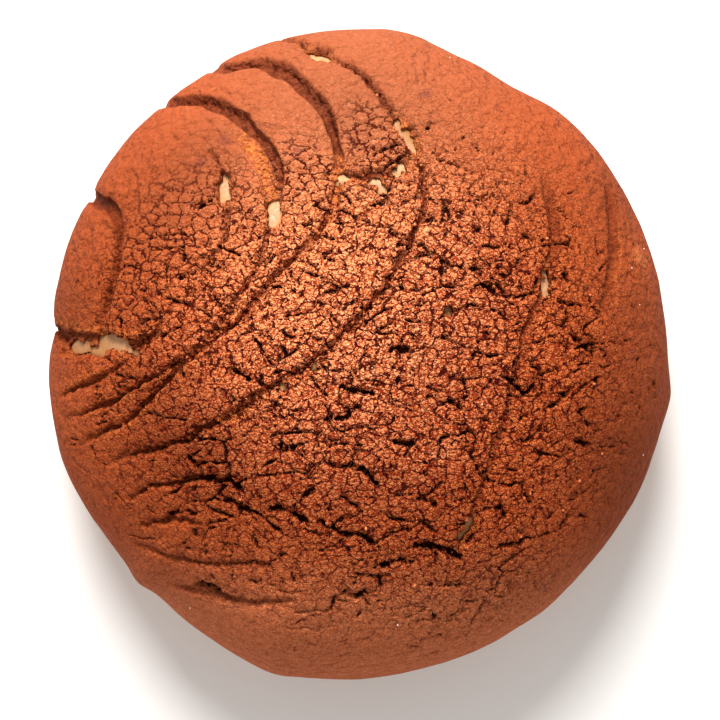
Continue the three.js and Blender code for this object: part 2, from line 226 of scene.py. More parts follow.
# The long cracks that the eye picks out: route, half width
CRACKS = [
    ([(-23.2, -0.8), (-20.6, -2.8), (-17.3, -4.7), (-14, -6.3)], 0.34),
    ([(-15.6, 3.3), (-12.3, 0.5), (-11.8, -0.8)], 0.3),
    ([(-13.5, -13.5), (-12.6, -15.8), (-9, -14.6)], 0.36),
    ([(-29.2, -16.8), (-26.3, -19.6)], 0.24),
    ([(-28.4, -21), (-22.9, -20.9), (-18.7, -23.9)], 0.36),
    ([(-23, -23.8), (-18.8, -26.3), (-17.4, -27.3)], 0.36),
    ([(-17.1, -26.3), (-14.9, -25.9), (-13.2, -25.6), (-10.7, -27.1), (-7.9, -29.6)], 0.42),
    ([(-6.8, -28.1), (-3.2, -29.7), (1, -30.9), (3.5, -32.3)], 0.4),
    ([(-2.3, -18.8), (0.7, -18.8), (2.7, -21.6), (3.5, -23.3)], 0.4),
    ([(-4, -4.5), (-1.2, -5.8), (2.2, -6.1), (3.5, -5)], 0.38),
    ([(-6.5, -11), (-2.3, -10.5), (-1.2, -9.3), (1.3, -8.3)], 0.34),
    ([(4.8, 0.8), (6.8, 1.2), (8.8, -0.5)], 0.34),
    ([(8.5, -32.3), (11.9, -32.4), (15.3, -33.3), (18.4, -35.2)], 0.6),
    ([(1.8, -35.7), (5.2, -35.1), (8.9, -34.6)], 0.4),
    ([(-2.7, -39.6), (-1.2, -40.8), (2.7, -39.9)], 0.38),
    ([(23.5, -3.3), (25.5, -4.2), (27.6, -6.3), (29.4, -5)], 0.44),
    ([(35.5, -5.5), (32.9, -8.4), (30.8, -9.5)], 0.34),
    ([(31.2, -10.9), (30.8, -12.6), (28.6, -13.6), (26.9, -15.1)], 0.42),
    ([(35.1, 3.4), (37.2, 2.5), (38.9, 0.5)], 0.42),
    ([(13, 25.4), (15.2, 24.6), (17.2, 23.9)], 0.26),
    ([(18.9, 22.2), (19.7, 21.2), (20.5, 19.7)], 0.32),
    ([(6.8, 18.5), (8.8, 18.1)], 0.3),
    ([(20.2, 12), (21.8, 11.2), (23.5, 9.7)], 0.42),
    ([(14, 10), (15, 8.3), (15, 6.1)], 0.34),
    ([(9.9, 37.5), (12.3, 39.2)], 0.3),
    ([(5.1, -14.1), (7.6, -15.3), (9.6, -14.6)], 0.34),
    ([(35.2, -14.3), (37.7, -14.9), (39.8, -16.1)], 0.32),
    ([(9.8, -24.2), (11.8, -24.5), (13.5, -25.2)], 0.36),
    ([(20.6, -20.2), (21.6, -19.4)], 0.5),
    ([(-33.7, -28), (-30.2, -26.5), (-26.8, -26.9)], 0.34),
    ([(-35.1, 7.6), (-33.7, 5)], 0.36),
    ([(-27.6, 24.7), (-24.2, 26.9)], 0.3),
    ([(-35.2, 13.5), (-32.6, 12.9), (-29.1, 13.2), (-25.7, 14.2)], 0.3),
    ([(20.8, -26), (23.7, -25.7), (24.6, -27.4)], 0.42),
    ([(22.9, -32.6), (27.2, -32), (29.3, -31.3)], 0.26),
    ([(-28.6, -39.4), (-25.6, -39.7), (-22.2, -41.8)], 1.1),
    ([(14.6, -7.5), (17.1, -8.8)], 0.34),
    ([(50.6, -4.2), (51.4, -5.3)], 0.4),
]


# ---- Numbers for every vertex at once --------------------------------------------------------
def ramp(value, low, high):
    """0 below low, 1 above high, and smooth between them. low may be the larger one."""
    share = np.clip((value - low) / (high - low), 0, 1)
    return share * share * (3 - 2 * share)


def scatter(seed, *keys):
    """A repeatable number from 0 to 1 for each set of whole numbers."""
    mixed = np.full(keys[0].shape, (seed * 2654435761 + 97) & 0xFFFFFFFF, np.uint32)
    for key in keys:
        mixed = (mixed ^ key.astype(np.uint32)) * np.uint32(2246822519)
        mixed ^= mixed >> np.uint32(15)
        mixed = mixed * np.uint32(3266489917)
        mixed ^= mixed >> np.uint32(13)
    return mixed.astype(np.float32) / np.float32(4294967295)


def noise(points, size, seed):
    """Smooth noise from -1 to 1 with bumps about size across."""
    place = (points / size).astype(np.float32)
    corner = np.floor(place).astype(np.int32)
    share = place - corner
    share = share ** 3 * (share * (share * 6 - 15) + 10)
    total = np.zeros(len(points), np.float32)
    for step in product((0, 1), repeat=3):
        value = scatter(seed, *(corner + step).T)
        total += value * np.where(step, share, 1 - share).prod(1)
    return total * 2 - 1


def rough(points, size, seed, octaves=3):
    """Noise with finer noise on it."""
    total = sum(noise(points, size / 2 ** i, seed + i) / 2 ** i for i in range(octaves))
    return total / sum(0.5 ** i for i in range(octaves))


def shaken(points, size, seed, reach):
    """The points, each moved up to reach by smooth noise, so that what is measured from them wanders."""
    return points + reach * np.stack([noise(points, size, seed + i) for i in range(3)], 1)


def crumbled(points, size, seed, share):
    """The points, moved most of the way to the middle of the crumb that they belong to.

    What is measured from them has the broken outline of whole crumbs."""
    home = np.floor(points / size).astype(np.int32)
    best = np.full(len(points), np.inf)
    centre = np.zeros_like(points)
    for step in product((-1, 0, 1), repeat=3):
        key = home + step
        shift = np.stack([scatter(seed + i, *key.T) for i in range(3)], 1)
        point = (key + shift) * size
        distance = ((point - points) ** 2).sum(1)
        closer = distance < best
        best[closer] = distance[closer]
        centre[closer] = point[closer]
    return points + share * (centre - points)


def cells(flat, size, seed):
    """Cells of a cracked skin on a plane: the distance to the nearest edge, and that edge's own number."""
    home = np.floor(flat / size).astype(np.int32)

    def seed_point(step):
        cell = home + step
        shift = np.stack([scatter(seed, *cell.T), scatter(seed + 1, *cell.T)], 1)
        return (cell + shift) * size

    best = np.full(len(flat), np.inf)
    nearest = np.zeros_like(flat)
    for step in product((-1, 0, 1), repeat=2):
        point = seed_point(step)
        distance = ((point - flat) ** 2).sum(1)
        closer = distance < best
        best[closer] = distance[closer]
        nearest[closer] = point[closer]
    edge = np.full(len(flat), np.inf)
    other = np.zeros_like(flat)
    tiny = 1e-6
    for step in product((-2, -1, 0, 1, 2), repeat=2):
        point = seed_point(step)
        across = point - nearest
        span = np.sqrt((across ** 2).sum(1))
        reach = ((nearest + point) / 2 - flat) * across
        distance = np.where(span > tiny, reach.sum(1) / np.maximum(span, tiny), np.inf)
        closer = distance < edge
        edge[closer] = distance[closer]
        other[closer] = point[closer]
    middle = np.round((nearest + other) / size * 512).astype(np.int32)
    return edge, scatter(seed + 2, middle[:, 0], middle[:, 1])


def waves(table, angle):
    """Even waves round the bun."""
    return sum(height * np.cos(lobes * (angle - math.radians(peak))) for lobes, height, peak in table)


def bumps_round(table, angle):
    """Single bumps and dents round the bun."""
    total = 0
    for at, spread, height in table:
        away = np.arctan2(np.sin(angle - math.radians(at)), np.cos(angle - math.radians(at)))
        total = total + height * bell(away, 0, math.radians(spread))
    return total


def outline_radius(angle):
    return MEAN_RADIUS + waves(OUTLINE_WAVES, angle) + bumps_round(OUTLINE_LUMPS, angle)


def form_point(angle, level):
    """A point of the outer form. Level 0 is the crown, 1 the widest line and 2 the floor."""
    turn = np.minimum(level, 2) * math.pi / 2
    above = level <= 1
    rise = np.maximum(np.cos(turn), 0) ** (2 / FULLNESS_UPWARD)
    on_dome = np.abs(np.sin(turn)) ** (2 / FULLNESS_ACROSS)
    share = np.where(above, on_dome, FOOT_SHARE + (1 - FOOT_SHARE) * np.sin(turn))
    dome_height = WIDEST_HEIGHT + (HEIGHT - WIDEST_HEIGHT) * rise
    up = np.where(above, dome_height, WIDEST_HEIGHT * (1 + np.cos(turn)))
    lumpy = ramp(level, *LUMPS_END)
    radius = share * (outline_radius(angle) - (1 - lumpy) * bumps_round(OUTLINE_LUMPS, angle))
    return np.stack([radius * np.cos(angle), radius * np.sin(angle), up], -1)


def form_normal(angle, level):
    step = 0.004
    place = np.clip(level, 2 * step, 2 - 2 * step)
    down = form_point(angle, place + step) - form_point(angle, place - step)
    around = form_point(angle + step, place) - form_point(angle - step, place)
    normal = np.cross(down, around)
    return normal / np.linalg.norm(normal, axis=-1, keepdims=True)


def seen_from_above(x, y):
    """The angle and level of places seen from above. Past the widest line they run down the side."""
    angle = np.arctan2(y, x)
    share = np.hypot(x, y) / outline_radius(angle)
    on_dome = (2 / math.pi) * np.arcsin(np.minimum(share, 1) ** (FULLNESS_ACROSS / 2))
    return angle, np.where(share < 1, on_dome, 1 + (share - 1) * 5)


def rim_level(angle):
    return RIM_LEVEL + waves(RIM_WAVES, angle)


def paste_thickness(way):
    return PASTE_THICKNESS + (PASTE_RIM_THICKNESS - PASTE_THICKNESS) * ramp(way, PASTE_THINS_AT, 1)


def smooth_route(route, spacing=0.8):
    """Points along a smooth curve through the places of a route, laid on the form."""
    points = np.array(route, float)
    padded = np.vstack([2 * points[0] - points[1], points, 2 * points[-1] - points[-2]])
    out = []
    for i in range(1, len(padded) - 2):
        a, b, c, d = padded[i - 1:i + 3]
        steps = max(2, int(np.linalg.norm(c - b) / spacing))
        for t in np.arange(steps) / steps:
            out.append(0.5 * (2 * b + (c - a) * t + (2 * a - 5 * b + 4 * c - d) * t ** 2
                              + (3 * b - a - 3 * c + d) * t ** 3))
    out.append(points[-1])
    flat = np.array(out)
    return form_point(*seen_from_above(flat[:, 0], flat[:, 1]))


def measure_route(skin, points, route, reach):
    """For the points within reach of a route: which they are, how far off it, their share along it,
    and 1 for those on its left or -1 for those on its right."""
    line = smooth_route(route)
    low, high = line.min(0) - reach, line.max(0) + reach
    near = np.nonzero(((points > low) & (points < high)).all(1))[0]
    local = points[near]
    normals = skin["normals"][near]
    distance = np.full(len(near), np.inf)
    share = np.zeros(len(near))
    side = np.ones(len(near))
    lengths = np.linalg.norm(np.diff(line, axis=0), axis=1)
    start = np.concatenate([[0], np.cumsum(lengths)]) / lengths.sum()
    for i, (a, b) in enumerate(zip(line[:-1], line[1:])):
        low, high = np.minimum(a, b) - reach, np.maximum(a, b) + reach
        picked = np.nonzero(((local > low) & (local < high)).all(1))[0]
        if not len(picked):
            continue
        along = b - a
        t = np.clip(((local[picked] - a) @ along) / (along @ along), 0, 1)
        offset = local[picked] - a - t[:, None] * along
        off = np.linalg.norm(offset, axis=1)
        closer = off < distance[picked]
        chosen = picked[closer]
        distance[chosen] = off[closer]
        share[chosen] = start[i] + t[closer] * (start[i + 1] - start[i])
        leftward = np.cross(normals[chosen], along)
        side[chosen] = np.where((offset[closer] * leftward).sum(1) > 0, 1, -1)
    found = distance < reach
    return near[found], distance[found], share[found], side[found]


def between(values, share):
    """The value at a share of the way along a route, from values evenly spread along it."""
    return np.interp(share, np.linspace(0, 1, len(values)), values)


# ---- The relief of the paste -----------------------------------------------------------------
# How far from its route a groove, a stretch and a crack reach, and how deep a tear cuts
GROOVE_REACH, STRETCH_REACH, CRACK_REACH = 9, 4, 2.5
TEAR_DEPTH, TEAR_THINNING = 4.6, 1.2
# A groove's cross-section, in half widths: the wall's top and foot, how far the shoulder spreads, then
# the middle and spread of the plump rise beside it and of the golden lip with its painted highlight, and
# the share of each form
WALL, SHOULDER_SPREAD, PLUMP, LIT_LIP = (1.05, 0.45), 2.0, (3.2, 1.2), (1.5, 0.55)
WALL_SHARE, SHOULDER_SHARE, PLUMP_SHARE = 0.82, 0.18, 0.18
# Between which y the painted highlight on the golden lips fades in from below, and fades out above
LIP_HIGHLIGHT_LOW, LIP_HIGHLIGHT_HIGH = (-22, -6), (24, 14)
LEAST_PASTE = 0.3  # only the tears leave less


def bell(value, middle, spread):
    """1 in the middle, and smoothly to 0 on both sides."""
    return np.exp(-((value - middle) / spread) ** 2)


def raise_to(marks, name, at, values):
    """Raises a mark at some points to the values, where they are higher."""
    marks[name][at] = np.maximum(marks[name][at], values)


def carve_grooves(skin, marks):
    """The depth of the grooves between the shells, the painted shade on their floors, and where they are
    stretched and golden or get a painted highlight on the lip.
    """
    channel = np.zeros(len(skin["points"]))
    for groove in GROOVES.values():
        places = skin["torn" if groove.get("torn") else "worn"]
        at, off, share, side = measure_route(skin, places, groove["route"], GROOVE_REACH)
        half = between(groove["width"], share)
        half = half * (1 + between(groove.get("lean", (0, 0)), share) * side)
        depth = between(groove["depth"], share) * ramp(share, 1, 0.9)
        depth = depth * ramp(share, 0, 0.03) * (0.2 + 0.8 * ramp(share, 0.04, groove.get("start", 0.16)))
        across, y = off / half, skin["points"][at, 1]
        shoulder = SHOULDER_SHARE * bell(across, 0, SHOULDER_SPREAD)
        cut = depth * (WALL_SHARE * ramp(across, *WALL) + shoulder - PLUMP_SHARE * bell(across, *PLUMP))
        channel[at] = np.maximum(channel[at], cut) + np.minimum(cut, 0)
        # A painted highlight: the golden lip on one side of the groove, where it catches the light
        lip = bell(across, *LIT_LIP) * (side > 0) * np.minimum(depth / 1.6, 1)
        raise_to(marks, "glow", at, 0.6 * (lip * ramp(y, *LIP_HIGHLIGHT_LOW) * ramp(y, *LIP_HIGHLIGHT_HIGH)))
        # Painted shade on the groove floor, stronger in the upper grooves, whose walls face away from the
        # light
        narrow = ramp(half, 1.0, 0.6)
        dark = ramp(across, 1.12 - 0.1 * narrow, 0.8 - 0.4 * narrow) * np.minimum(depth / 1.4, 1)
        raise_to(marks, "deep", at, dark * (0.52 + 0.48 * ramp(y, 4, 24)))
    for route, half, depth in STRETCHES:
        at, off, share = measure_route(skin, skin["wander"], route, STRETCH_REACH)[:3]
        floor = ramp(off, half * 1.15, 0.6 * half) * (ramp(share, 0, 0.2) * ramp(share, 1, 0.8))
        channel[at] = np.maximum(channel[at], depth * floor)
        raise_to(marks, "glow", at, floor)
    marks["deep"] *= 1 - 0.75 * marks["glow"]
    return channel


def crack_cells(skin, marks, height):
    """Lumps with broken cracks between them, in two sizes. Returns the depth of the cracks."""
    flat = skin["flat"] + 1.1 * (skin["ragged"] - skin["points"])[:, :2]
    patch = 0.5 + 0.5 * rough(skin["points"], 8, 41, 2)
    whole = 1 - 0.7 * np.maximum(marks["deep"], marks["glow"])
    depth = np.zeros(len(flat))
    for layer in CRACK_LAYERS:
        zone = skin[layer["zone"]]
        edge, number = cells(flat * (0.76, 1.30), layer["size"], layer["seed"])
        open_share = layer["open"] * (0.4 + 1.1 * patch) * zone * whole
        opened = ramp(number, open_share + 0.06, open_share - 0.2)
        swing = 0.95 + 0.7 * noise(skin["points"], layer["size"] * 0.30, layer["seed"] + 3)
        half = layer["half"] * opened * np.clip(swing, -0.3, 1.9) - 0.12 * (1 - opened)
        depth = np.maximum(depth, layer["depth"] * opened * ramp(edge, half + 0.2, half - 0.12))
        marks["crack"] = np.maximum(marks["crack"], np.where(opened > 0.02, half - edge, -1))
        dome = np.sqrt(np.clip(edge / (0.36 * layer["size"]), 0, 1))
        height += layer["lump"] * (dome - 1) * zone * whole
    return depth


def long_cracks(skin, marks, height, depth):
    """The cracks that were placed one by one."""
    for route, half in CRACKS:
        at, off, share = measure_route(skin, skin["torn"], route, CRACK_REACH)[:3]
        taper = ramp(share, 0, 0.25) * ramp(share, 1, 0.75)
        swing = min(0.7, 0.28 / half) * noise(skin["points"][at], 1.0, 61)
        wide = half * (0.3 + 0.7 * taper) * (0.95 + swing)
        depth[at] = np.maximum(depth[at], (0.8 + 1.4 * half) * ramp(off, wide + 0.25, wide - 0.15))
        raise_to(marks, "crack", at, wide - off)
        height[at] -= 0.15 * bell(off, 0, 2.5 * half) * taper


def tear_open(skin, marks):
    """The depth of the tears: the paste thins at their edge, then they drop through to the bread."""
    tear = np.zeros(len(skin["points"]))
    for gap in GAPS:
        centre, length = gap[0], gap[2]
        near = np.nonzero(np.hypot(*(skin["points"][:, :2] - centre).T) < length)[0]
        outside = outside_gap(skin["frayed"][near], *gap)
        tear[near] = np.maximum(tear[near], TEAR_DEPTH * ramp(outside, 0.12, -0.15))
        tear[near] = np.maximum(tear[near], TEAR_THINNING * ramp(outside, 0.7, 0.05))
        raise_to(marks, "fringe", near, ramp(outside, 0.6, 0.0))
    return tear


def outside_gap(points, centre, turn, length, width, taper):
    """How far points lie outside the edge of a tear, seen from above."""
    local = points[:, :2] - centre
    heading = np.array([math.cos(math.radians(turn)), math.sin(math.radians(turn))])
    along = local @ heading / (length / 2)
    aside = local @ (-heading[1], heading[0]) / (width / 2)
    ring = np.hypot(along, aside / np.clip(1 - taper * along, 0.3, 2))
    return (ring - 1) * width / 2


def bread_swell(points):
    """How far the bread pushes up into the tears, which leaves it almost level with the groove floors."""
    swell = np.zeros(len(points))
    for gap in GAPS:
        swell = np.maximum(swell, SWELL * ramp(outside_gap(points, *gap), 1.8, -0.2))
    return swell


def within(points, centre, outer, inner):
    """1 within the inner radius round a centre seen from above, 0 past the outer one."""
    return ramp(np.hypot(points[:, 0] - centre[0], points[:, 1] - centre[1]), outer, inner)


def mark_zones(skin):
    """Where the paste is calm, where it is finely crackled and where it is boldly cracked."""
    points, way = skin["points"], skin["way"]
    x, y = points[:, 0], points[:, 1]
    open_field = (1 - 0.9 * within(points, *CALM_UPPER_LEFT)) * (1 - 0.8 * within(points, *CALM_TOP))
    rightward, upward = x - CRISPEST[0], y - CRISPEST[1]
    rightward = rightward * np.where(rightward > 0, 1.12, 0.62 + 0.16 * ramp(y, 12, 36))
    from_crispest = np.hypot(rightward, upward * np.where(upward < 0, 0.85, 1))
    skin["sharp"] = np.interp(from_crispest, *SHARPNESS) * ramp(way, 0.97, 0.80)
    skin["fine"] = np.clip(ramp(way, 0.84, 0.50) * open_field, 0, 1) * (0.25 + 0.75 * skin["sharp"])
    skin["bold"] = np.clip(ramp(way, 0.80, 0.60) * open_field, 0, 1) * ramp(skin["sharp"], 0.28, 0.75)
    skin["wander"] = shaken(points, 3.0, 11, 0.45)
    crumbs = crumbled(points, 0.85, 24, 0.75)
    skin["torn"] = crumbs + shaken(points, 2.2, 14, 0.35) - points
    skin["frayed"] = crumbled(points, 1.2, 27, 0.8) + shaken(points, 1.8, 34, 0.4) - points
    skin["ragged"] = skin["wander"] + 0.55 * (crumbs - points)
    wear = 0.15 + 0.6 * ramp(y, 34, 6)
    skin["worn"] = skin["wander"] + wear[:, None] * (crumbs - points)


def paste_relief(skin):
    """How far each point of the paste stands out of the form, and the marks that its material reads."""
    points, way = skin["points"], skin["way"]
    count = len(points)
    marks = {name: np.zeros(count) for name in ("deep", "glow", "fringe")}
    marks["crack"] = np.full(count, -1.0)
    mark_zones(skin)

    height = sum(swell * noise(points, size, seed) for swell, size, seed in SWELLS)
    channel = carve_grooves(skin, marks)
    crackle = crack_cells(skin, marks, height)
    long_cracks(skin, marks, height, crackle)
    tear = tear_open(skin, marks)

    edge_share = np.clip((way - 0.965) / 0.035, 0, 1)
    round_under = 1.2 * (1 - np.sqrt(np.maximum(1 - edge_share ** 2, 0)))

    sunk = np.maximum(channel, tear)
    total = height * ramp(way, 1.0, 0.93) - sunk - crackle * np.clip(1 - sunk / 2.4, 0.25, 1) - round_under
    total = total + bumps_round(RIM_TRIMS, skin["angle"]) * ramp(way, 0.68, 0.84)
    deepest = paste_thickness(way) - bread_swell(points) - LEAST_PASTE
    total = np.where(tear > TEAR_THINNING + 0.05, total, np.maximum(total, -deepest))
    marks["sharp"] = skin["sharp"]
    # Painted light and shade: the paste's brightness by region
    marks["tone"] = painted_light_tone(points)
    marks["ruddy"] = regional_ruddiness(points)
    marks["stain"] = spots(skin["wander"], STAINS)
    marks["loose"] = spots(skin["torn"], LOOSE_GRAINS)
    marks["crumbly"] = spots(points, CRUMBLY) * ramp(way, 0.95, 0.85)
    return total, marks


def spots(points, table):
    """1 in the middle of oval spots and 0 outside them."""
    strength = np.zeros(len(points))
    for centre, length, width, turn in table:
        ring = outside_gap(points, centre, turn, length, width, 0.0) / (width / 2) + 1
        strength = np.maximum(strength, ramp(ring, 1.1, 0.4))
    return strength


def painted_light_tone(points):
    """How bright the paste is, with painted light and shade: brightest round the place where the light
    falls most, brighter towards the top and the lower edge and darker towards the right, with darker and
    paler spots and a little noise.
    """
    x, y = points[:, 0], points[:, 1]
    rightward = x - LIGHT_PEAK[0]
    crown = ramp(np.hypot(rightward * np.where(rightward > 0, 0.84, 1), y - LIGHT_PEAK[1]), 36, 6)
    tone = 0.53 + 0.80 * crown + 0.09 * ramp(y, 22, 44)
    tone = tone + 0.20 * ramp(-y, 34, 47) - 0.12 * ramp(x, 34, 46)
    for centre, radius, change in TONE_SPOTS:
        tone = tone + change * bell(np.hypot(x - centre[0], y - centre[1]), 0, radius)
    return tone * (1 + 0.06 * noise(points, 14, 81))


def regional_ruddiness(points):
    """How red the paste is: more so farther from its middle, and less so again near the lower edge."""
    x, y = points[:, 0], points[:, 1]
    upward = y - LEAST_RED[1]
    upward = upward * np.where(upward > 0, 0.5, 0.8)
    return ramp(np.hypot(x - LEAST_RED[0], upward), 10, 42) * (1 - 0.75 * ramp(-y, 28, 44))


# ---- Meshes ----------------------------------------------------------------------------------
# Cells along each side of the square that is laid over the dome, and the paste's triangles
GRID, TOPPING_FACES = ((620, 196_000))
# Points round a body, and its rings under the paste, down the side and across the foot
BREAD_STEPS, BREAD_RINGS = ((360, (150, 60, 12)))
CORE_STEPS, CORE_RINGS = 240, (100, 16, 2)
CORE_OVERSIZE = 0.1  # how much the core that is cut from the paste is larger than the bread's space


def square_to_disc():
    """A square grid of points, moved so that it fills a disc evenly.

    Gives each one's radius, angle and place in the square."""
    line = np.linspace(-1, 1, GRID + 1)
    a, b = (axis.ravel() for axis in np.meshgrid(line, line, indexing="xy"))
    sideways = np.abs(a) > np.abs(b)
    safe_a, safe_b = np.where(a == 0, 1, a), np.where(b == 0, 1, b)
    radius = np.where(sideways, a, b)
    angle = np.where(sideways, math.pi / 4 * b / safe_a, math.pi / 2 - math.pi / 4 * a / safe_b)
    angle = np.where((a == 0) & (b == 0), 0, angle)
    angle = np.where(radius < 0, angle + math.pi, angle)
    return np.abs(radius), angle, np.stack([a, b], 1)


def level_by_arc():
    """The share of the way from crown to rim for even steps of arc, and the arc's whole length."""
    levels = np.linspace(0, RIM_LEVEL, 2001)
    line = form_point(np.zeros_like(levels), levels)
    arc = np.concatenate([[0], np.cumsum(np.linalg.norm(np.diff(line, axis=0), axis=1))])
    return levels / RIM_LEVEL, arc / arc[-1], arc[-1]


def dome_skin():
    """Every point of the paste's outer face on the bare form."""
    radius, angle, square = square_to_disc()
    shares, arcs, length = level_by_arc()
    way = np.interp(radius, arcs, shares)
    level = way * rim_level(angle)
    points = form_point(angle, level)
    flat = np.stack([radius * np.cos(angle), radius * np.sin(angle)], 1) * length
    normals = form_normal(angle, level)
    return dict(angle=angle, way=way, points=points, flat=flat, square=square, normals=normals)


def new_mesh(name, points, faces):
    """A mesh object from points in millimetres, and faces as one array or as a list of them."""
    mesh = bpy.data.meshes.new(name)
    groups = faces if isinstance(faces, list) else [faces]
    corners = np.concatenate([group.ravel() for group in groups]).astype(np.int32)
    sizes = np.concatenate([np.full(len(group), group.shape[1]) for group in groups])
    mesh.vertices.add(len(points))
    mesh.vertices.foreach_set("co", (np.asarray(points) * MM).astype(np.float32).ravel())
    mesh.loops.add(len(corners))
    mesh.loops.foreach_set("vertex_index", corners)
    mesh.polygons.add(len(sizes))
    starts = np.concatenate([[0], np.cumsum(sizes)[:-1]]).astype(np.int32)
    mesh.polygons.foreach_set("loop_start", starts)
    mesh.update(calc_edges=True)
    mesh.validate()
    made = bpy.data.objects.new(name, mesh)
    bpy.context.collection.objects.link(made)
    return made


def apply_modifiers(thing):
    """Makes the modified mesh the object's own."""
    graph = bpy.context.evaluated_depsgraph_get()
    mesh = bpy.data.meshes.new_from_object(thing.evaluated_get(graph))
    thing.modifiers.clear()
    old, thing.data = thing.data, mesh
    bpy.data.meshes.remove(old)


def quads_of_grid():
    index = np.arange((GRID + 1) ** 2).reshape(GRID + 1, GRID + 1)
    return np.stack([index[:-1, :-1], index[:-1, 1:], index[1:, 1:], index[1:, :-1]], -1).reshape(-1, 4)


def border_of_grid():
    """The grid's outer points, once round, anticlockwise."""
    index = np.arange((GRID + 1) ** 2).reshape(GRID + 1, GRID + 1)
    return np.concatenate([index[0, :-1], index[:-1, -1], index[-1, :0:-1], index[:0:-1, 0]])


TUCK = 2.0  # how far the block that becomes the paste is tucked in under its edge


def paste_block(skin, relief):
    """The paste's outer face as a solid that is closed deep inside the bread."""
    outer = skin["points"] + skin["normals"] * relief[:, None]
    border = border_of_grid()
    depth = paste_thickness(skin["way"][border]) + TUCK
    tucked = skin["points"][border] - skin["normals"][border] * depth[:, None]
    middle = np.array([[0, 0, WIDEST_HEIGHT]])
    points = np.vstack([outer, tucked, middle])
    first = len(outer)
    ring = np.arange(len(border)) + first
    following = np.roll(ring, -1)
    walls = np.stack([border, ring, following, np.roll(border, -1)], 1)
    fan = np.stack([ring, np.full(len(ring), first + len(ring)), following], 1)
    return new_mesh("chocolate_topping", points, [quads_of_grid(), walls, fan])


def ring_body(name, steps, rings):
    """A closed body from rings of points, each a function of the angle, between two single end points."""
    angle = np.linspace(0, 2 * math.pi, steps, endpoint=False)
    between_ends = [ring(angle) for ring in rings[1:-1]]
    points = np.vstack([rings[0](angle[:1]), *between_ends, rings[-1](angle[:1])])
    here = np.arange(steps)
    ahead = np.roll(here, -1)
    quads = []
    for i in range(len(rings) - 3):
        start = 1 + i * steps
        corners = start + here, start + steps + here, start + steps + ahead, start + ahead
        quads.append(np.stack(corners, 1))
    last = 1 + (len(rings) - 3) * steps
    top = np.stack([np.zeros(steps, int), 1 + here, 1 + ahead], 1)
    bottom = np.stack([last + here, np.full(steps, len(points) - 1), last + ahead], 1)
    return new_mesh(name, points, [top, np.vstack(quads), bottom])


def bread_rings(gap, inner, flank, base, relief):
    """The rings of the bread: under the paste, down its own side, and across the flat foot."""
    def under(way):
        return lambda angle: (angle, way * rim_level(angle), paste_thickness(way) + gap, 0)

    def side(way):
        depth = (PASTE_RIM_THICKNESS + gap) * (1 - way)
        return lambda angle: (angle, rim_level(angle) + (2 - rim_level(angle)) * way, depth, way)

    def placed(where):
        def ring(angle):
            turn, level, depth, low = where(angle)
            level = level + 0 * turn
            points = form_point(turn, level)
            rise = relief(points, low) - depth
            points = points + form_normal(turn, level) * rise[:, None]
            points[:, 2] = np.maximum(points[:, 2], 0)
            return points
        return ring

    def foot(inward):
        def ring(angle):
            points = form_point(angle, np.full(len(angle), 2.0)) * inward
            points[:, 2] = 0
            return points
        return ring

    ways = [under(way) for way in np.linspace(0, 1, inner + 1)]
    ways += [side(way) for way in np.linspace(0, 1, flank + 1)[1:]]
    return [placed(way) for way in ways] + [foot(inward) for inward in np.linspace(1, 0, base + 1)[1:]]


def cut_through(block, core, faces):
    """Takes the bread's space out of the paste, which opens the tears, and thins the mesh."""
    cut = block.modifiers.new("cut", "BOOLEAN")
    cut.operation = "DIFFERENCE"
    cut.solver = "MANIFOLD"
    cut.object = core
    apply_modifiers(block)
    count = sum(len(face.vertices) - 2 for face in block.data.polygons)
    thin = block.modifiers.new("thin", "DECIMATE")
    thin.ratio = faces / count
    apply_modifiers(block)
    bpy.data.objects.remove(core)


def vertex_points(thing):
    flat = np.empty(len(thing.data.vertices) * 3, np.float32)
    thing.data.vertices.foreach_get("co", flat)
    return flat.reshape(-1, 3).astype(float) / MM


def nearest_skin(thing, outer):
    """For each vertex of the mesh, the nearest point of the skin that it was made from, and how near."""
    tree = KDTree(len(outer))
    for i, point in enumerate(outer):
        tree.insert(point, i)
    tree.balance()
    found = [tree.find(point)[1:] for point in vertex_points(thing)]
    return tuple(np.array(values) for values in zip(*found))


def write_marks(thing, marks):
    for name, values in marks.items():
        layer = thing.data.attributes.new(name, "FLOAT", "POINT")
        layer.data.foreach_set("value", np.ascontiguousarray(values, dtype=np.float32))


def place_in_square(skin, source, offset):
    """Where points lie in the square laid over the dome, from their offset to the nearest skin point."""
    grid = skin["points"].reshape(GRID + 1, GRID + 1, 3)
    outward = skin["normals"][source]

    def level_part(vectors):
        return vectors - (vectors * outward).sum(1)[:, None] * outward

    slopes = np.gradient(grid, 2 / GRID, axis=(0, 1))
    along_b, along_a = (level_part(slope.reshape(-1, 3)[source]) for slope in slopes)
    offset = level_part(offset)
    aa, bb, ab = (along_a ** 2).sum(1), (along_b ** 2).sum(1), (along_a * along_b).sum(1)
    to_a, to_b = (offset * along_a).sum(1), (offset * along_b).sum(1)
    change = np.stack([bb * to_a - ab * to_b, aa * to_b - ab * to_a], 1) / (aa * bb - ab ** 2)[:, None]
    two_cells = 4 / GRID
    return skin["square"][source] + np.clip(change, -two_cells, two_cells)


# The bake map: where the outer face and the face on the bread lie in it, as middle and half width,
# how far the paste's edge widens the first, and how a face on the bread is known
OUTER_PLACE, BREAD_PLACE, EDGE_LENGTH, FACES_BREAD = (0.445, 0.42), (0.94, 0.045), 70, -0.3


